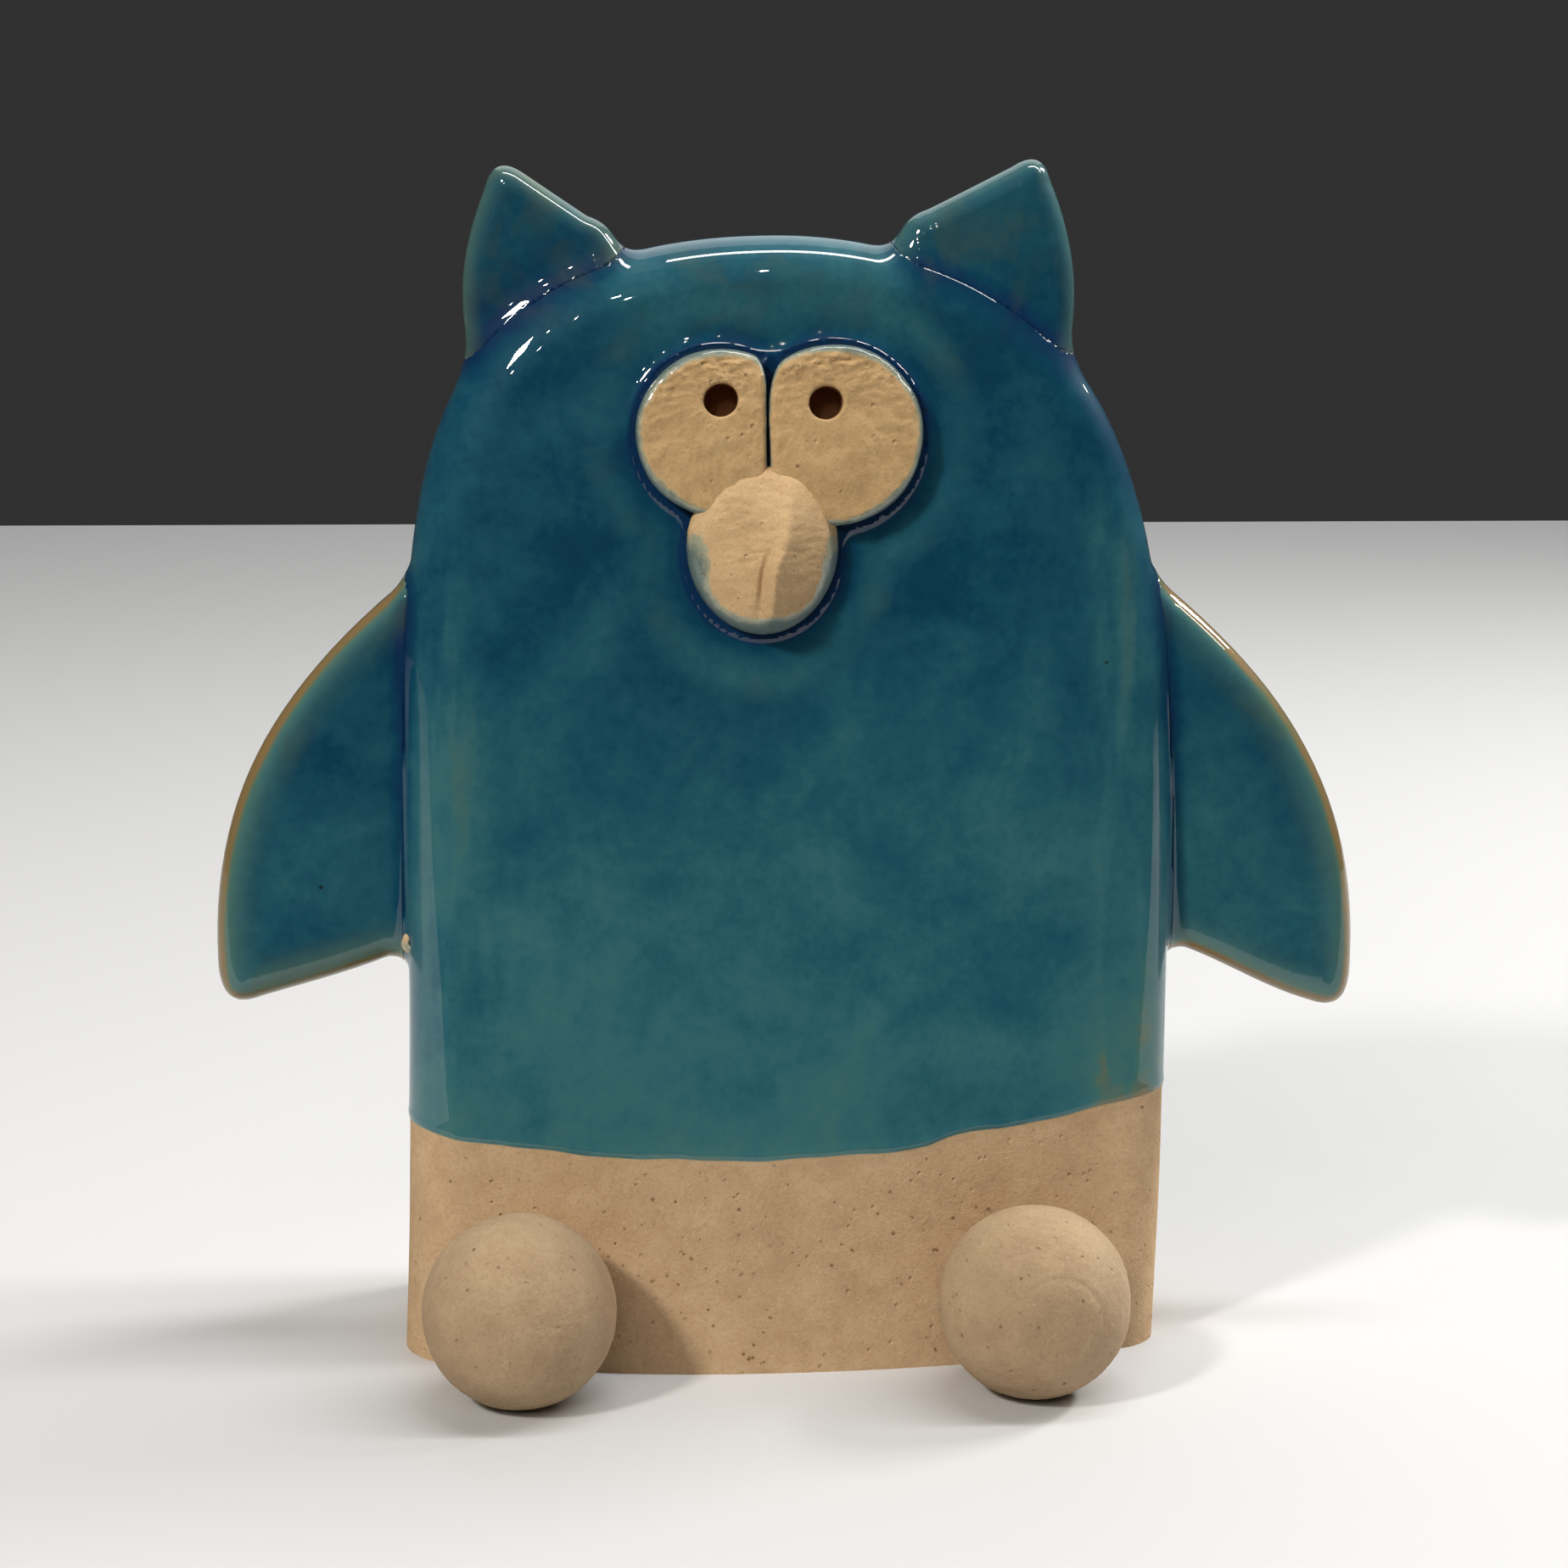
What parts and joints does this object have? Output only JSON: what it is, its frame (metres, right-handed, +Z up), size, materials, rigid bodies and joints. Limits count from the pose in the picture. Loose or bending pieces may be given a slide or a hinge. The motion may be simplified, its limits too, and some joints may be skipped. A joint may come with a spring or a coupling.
{
  "type": "figural animal coin bank",
  "caption": "Hand-built stoneware owl coin bank, teal glaze over a bare clay band, with ears, wings, ball feet, a slot in the back and a rubber stopper below.",
  "frame": {"origin": "middle of the bounding box, on the ground that the bank stands on", "axes": "+Z up, -Y the front with the face and feet, +X the side that is on the right when the bank is seen from the front"},
  "size_m": [0.1578, 0.0706, 0.1621],
  "materials": {
    "teal_glaze": "thick glossy translucent teal glaze over buff stoneware, breaking tan on edges and pooling dark blue in the joints; bare clay below the glaze line",
    "bare_stoneware": "unglazed buff stoneware, matt, fine sandy grain with small dark grog specks",
    "stopper_rubber": "soft matt black rubber"
  },
  "bodies": {
    "bank": {"front_shell": "teal_glaze", "back_shell": "teal_glaze", "left_ear": "teal_glaze", "right_ear": "teal_glaze", "left_wing": "teal_glaze", "right_wing": "teal_glaze", "base_slab": "bare_stoneware", "left_eye_disc": "bare_stoneware", "right_eye_disc": "bare_stoneware", "beak": "bare_stoneware", "left_foot": "bare_stoneware", "right_foot": "bare_stoneware"},
    "stopper": {"stopper": "stopper_rubber"}
  },
  "joints": [
    {"name": "stopper_pull", "type": "slide", "parent": "bank", "child": "stopper", "axis": [0, 0, -1], "range_m": [0, 0.03]}
  ]
}
